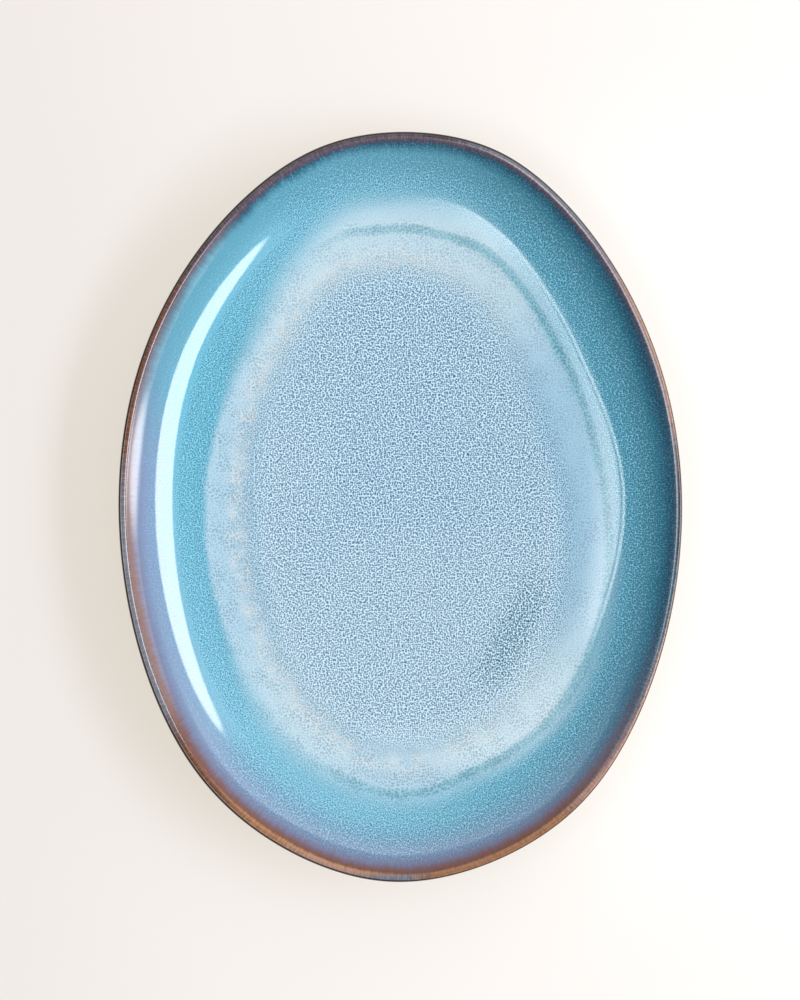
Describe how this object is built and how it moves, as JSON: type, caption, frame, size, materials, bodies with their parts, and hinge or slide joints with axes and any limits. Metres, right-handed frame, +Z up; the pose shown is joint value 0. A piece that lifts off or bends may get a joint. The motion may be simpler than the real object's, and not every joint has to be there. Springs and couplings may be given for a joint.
{
  "type": "oval serving platter",
  "caption": "Oval stoneware serving platter: flat well, curved wall and rounded lip on a bare foot ring, under blue reactive glazes with an iron-brown rim.",
  "frame": {"origin": "on the table under the middle of the platter's outline", "axes": "+Z up out of the well, +Y along the platter's length, +X across its width"},
  "size_m": [0.278, 0.37, 0.033],
  "materials": {
    "stoneware": "fired stoneware clay, matt and slightly sandy",
    "bare_foot": "unglazed fired clay, sanded smooth where it rests",
    "well_glaze": "glossy pale blue reactive glaze with fine slate-teal speckle",
    "well_border_glaze": "glossy pale glaze where the floor and wall coats melt together",
    "wall_glaze": "glossy turquoise glaze with fine radial runs",
    "rim_glaze": "glossy iron-brown glaze breaking to mauve and amber",
    "outer_glaze": "glossy deep blue glaze",
    "base_glaze": "glossy deep blue glaze"
  },
  "bodies": {
    "root": {"stoneware_body": "stoneware", "foot_ring": "bare_foot", "well_glaze": "well_glaze", "well_border_glaze": "well_border_glaze", "wall_glaze": "wall_glaze", "rim_glaze": "rim_glaze", "outer_glaze": "outer_glaze", "base_glaze": "base_glaze"}
  },
  "joints": []
}
